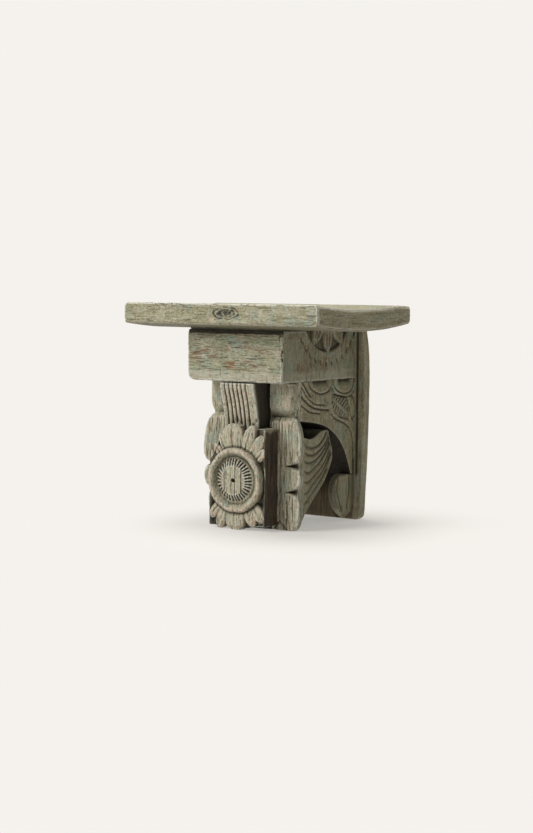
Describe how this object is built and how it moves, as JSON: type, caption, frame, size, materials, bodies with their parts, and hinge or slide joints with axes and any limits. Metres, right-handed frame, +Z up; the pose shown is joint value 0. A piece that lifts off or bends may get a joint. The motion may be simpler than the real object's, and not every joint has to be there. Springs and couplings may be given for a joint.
{
  "type": "carved corbel shelf",
  "caption": "Small wall shelf: a carved wooden corbel with a petalled rosette drop and scalloped plates carries a cupped plank; it also stands on its base.",
  "frame": {"origin": "middle of the bounding box in plan, at the height of the surface that the pendant and the back plate stand on", "axes": "+Z up; +Y towards the wall, so the carved front faces -Y; +X to the right seen from the front"},
  "size_m": [0.238, 0.178, 0.23],
  "materials": {
    "painted_wood": "worn matt sage paint over red-brown undercoat on carved hardwood",
    "bare_wood": "bare hardwood",
    "nail_iron": "dark rusted iron",
    "hanger_steel": "dull zinc-plated steel"
  },
  "bodies": {
    "root": {"shelf_board": "painted_wood", "head_block": "painted_wood", "arm_block": "painted_wood", "back_plate": "painted_wood", "left_foot_bud": "painted_wood", "right_foot_bud": "painted_wood", "drop_core": "painted_wood", "left_shell_leaf": "painted_wood", "right_shell_leaf": "painted_wood", "left_lobed_plate": "painted_wood", "right_lobed_plate": "painted_wood", "pendant_panel": "painted_wood", "reeded_neck": "painted_wood", "rosette_disc": "painted_wood", "head_dowels": "bare_wood", "core_dowels": "bare_wood", "shell_dowels": "bare_wood", "panel_dowels": "bare_wood", "neck_dowel": "bare_wood", "bud_dowels": "bare_wood", "shelf_nails": "nail_iron", "rosette_nail": "nail_iron", "plate_nails": "nail_iron", "left_hanger": "hanger_steel", "right_hanger": "hanger_steel", "hanger_screws": "hanger_steel", "back_screws": "hanger_steel"}
  },
  "joints": []
}
